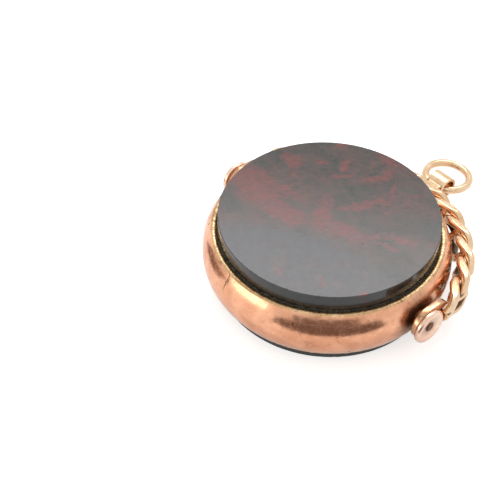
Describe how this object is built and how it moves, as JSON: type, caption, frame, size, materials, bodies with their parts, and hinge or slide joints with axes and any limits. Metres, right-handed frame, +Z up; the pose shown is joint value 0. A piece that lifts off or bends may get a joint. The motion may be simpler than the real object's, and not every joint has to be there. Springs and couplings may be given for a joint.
{
  "type": "pocket watch swivel fob",
  "caption": "Polished stone disc in a domed gold rim that spins between the ends of a curb-link bow with a hanging ring",
  "frame": {"origin": "centre of the back stone's flat polished face, which rests on a table", "axes": "+Z up through both stones; +X along the pivot line towards the near pivot; +Y towards the top of the bow"},
  "size_m": [0.0346, 0.04, 0.0102],
  "materials": {
    "rose_gold": "worn polished rose gold",
    "bezel_gold": "rubbed yellow gold edge",
    "front_stone": "polished dark green stone with red flecks",
    "back_stone": "polished dark stone",
    "cement": "set shellac and stone dust cement, hidden"
  },
  "bodies": {
    "disc": {"front_stone": "front_stone", "back_stone": "back_stone", "cement_core": "cement", "rim_inner_collet": "rose_gold", "front_bezel": "bezel_gold", "back_bezel": "bezel_gold", "rim_outer_band": "rose_gold", "near_pivot_pin": "rose_gold", "far_pivot_pin": "rose_gold", "near_pivot_collar": "rose_gold", "far_pivot_collar": "rose_gold", "near_rivet_head": "rose_gold", "far_rivet_head": "rose_gold"},
    "bow": {"near_bow_eye": "rose_gold", "far_bow_eye": "rose_gold", "curb_link_01": "rose_gold", "curb_link_02": "rose_gold", "curb_link_03": "rose_gold", "curb_link_04": "rose_gold", "curb_link_05": "rose_gold", "curb_link_06": "rose_gold", "curb_link_07": "rose_gold", "curb_link_08": "rose_gold", "curb_link_09": "rose_gold", "curb_link_10": "rose_gold", "curb_link_11": "rose_gold", "curb_link_12": "rose_gold", "apex_lug": "rose_gold"},
    "ring": {"suspension_ring": "rose_gold"}
  },
  "joints": [
    {"name": "bow_swivel", "type": "hinge", "parent": "disc", "child": "bow", "pos_m": [0, 0, 0.0048], "axis": [1, 0, 0], "continuous": true},
    {"name": "ring_swing", "type": "hinge", "parent": "bow", "child": "ring", "pos_m": [0, 0.01963, 0.00384], "axis": [1, 0, 0], "range_deg": [-120, 125]}
  ]
}
